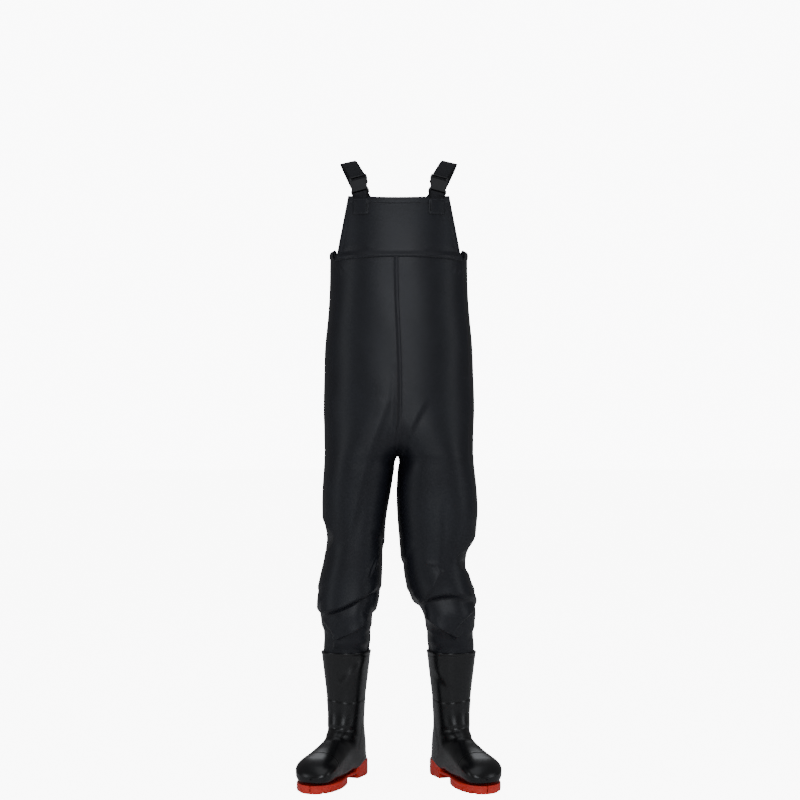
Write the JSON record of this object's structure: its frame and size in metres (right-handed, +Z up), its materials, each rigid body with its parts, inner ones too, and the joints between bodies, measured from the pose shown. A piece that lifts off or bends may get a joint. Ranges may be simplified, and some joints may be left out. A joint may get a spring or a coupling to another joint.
{
  "type": "chest waders",
  "caption": "Hollow one-piece chest waders: welded trouser halves, bib, buckled shoulder straps joined at a back patch, and calf-high moulded boots with heeled soles.",
  "frame": {"origin": "on the ground, under the middle of the part's box", "axes": "+Z up, -Y to the front, +X to the wearer's left"},
  "size_m": [0.475, 0.3398, 1.476],
  "materials": {
    "coated_cloth": "matte coated nylon cloth, near black",
    "seam_tape": "heat-welded film tape",
    "webbing": "black woven webbing",
    "elastic": "knitted elastic",
    "buckle_nylon": "moulded black nylon, satin",
    "boot_pvc": "injection-moulded black PVC, glossy",
    "sole_pvc": "moulded red PVC, satin",
    "insole_foam": "felt-faced foam"
  },
  "bodies": {
    "suit": {"back_anchor_patch": "webbing", "back_patch": "webbing", "back_web": "elastic", "bib_panel": "coated_cloth", "bib_top_hem": "coated_cloth", "centre_seam_tape": "seam_tape", "chest_seam_tape": "seam_tape", "left_boot_insole": "insole_foam", "left_boot_outsole": "sole_pvc", "left_boot_upper": "boot_pvc", "left_buckle_socket": "buckle_nylon", "left_half_panel": "coated_cloth", "left_inseam_tape": "seam_tape", "left_side_casing": "coated_cloth", "left_side_elastic": "elastic", "left_strap_patch": "webbing", "left_strap_tab": "webbing", "left_weld_band": "seam_tape", "right_boot_insole": "insole_foam", "right_boot_outsole": "sole_pvc", "right_boot_upper": "boot_pvc", "right_buckle_socket": "buckle_nylon", "right_half_panel": "coated_cloth", "right_inseam_tape": "seam_tape", "right_side_casing": "coated_cloth", "right_side_elastic": "elastic", "right_strap_patch": "webbing", "right_strap_tab": "webbing", "right_weld_band": "seam_tape"},
    "left_strap": {"left_strap": "webbing", "left_buckle_clip": "buckle_nylon"},
    "left_outer_arm": {"left_outer_clip_arm": "buckle_nylon"},
    "left_inner_arm": {"left_inner_clip_arm": "buckle_nylon"},
    "right_strap": {"right_strap": "webbing", "right_buckle_clip": "buckle_nylon"},
    "right_outer_arm": {"right_outer_clip_arm": "buckle_nylon"},
    "right_inner_arm": {"right_inner_clip_arm": "buckle_nylon"}
  },
  "joints": [
    {"name": "left_strap_swing", "type": "hinge", "parent": "suit", "child": "left_strap", "pos_m": [0.028, 0.15387, 1.311], "axis": [-0.9536, -0.1849, 0.2375], "range_deg": [0, 110]},
    {"name": "left_outer_arm_press", "type": "hinge", "parent": "left_strap", "child": "left_outer_arm", "pos_m": [0.10643, -0.04745, 1.41522], "axis": [-0.2716, 0.869, -0.4136], "range_deg": [0, 8], "stiffness_Nm_per_rad": 0.8},
    {"name": "left_inner_arm_press", "type": "hinge", "parent": "left_strap", "child": "left_inner_arm", "pos_m": [0.08202, -0.05218, 1.4213], "axis": [0.2716, -0.869, 0.4136], "range_deg": [0, 8], "stiffness_Nm_per_rad": 0.8},
    {"name": "right_strap_swing", "type": "hinge", "parent": "suit", "child": "right_strap", "pos_m": [-0.028, 0.15387, 1.311], "axis": [-0.9536, 0.1849, -0.2375], "range_deg": [0, 110]},
    {"name": "right_outer_arm_press", "type": "hinge", "parent": "right_strap", "child": "right_outer_arm", "pos_m": [-0.10643, -0.04745, 1.41522], "axis": [-0.2716, -0.869, 0.4136], "range_deg": [0, 8], "stiffness_Nm_per_rad": 0.8},
    {"name": "right_inner_arm_press", "type": "hinge", "parent": "right_strap", "child": "right_inner_arm", "pos_m": [-0.08202, -0.05218, 1.4213], "axis": [0.2716, 0.869, -0.4136], "range_deg": [0, 8], "stiffness_Nm_per_rad": 0.8}
  ]
}
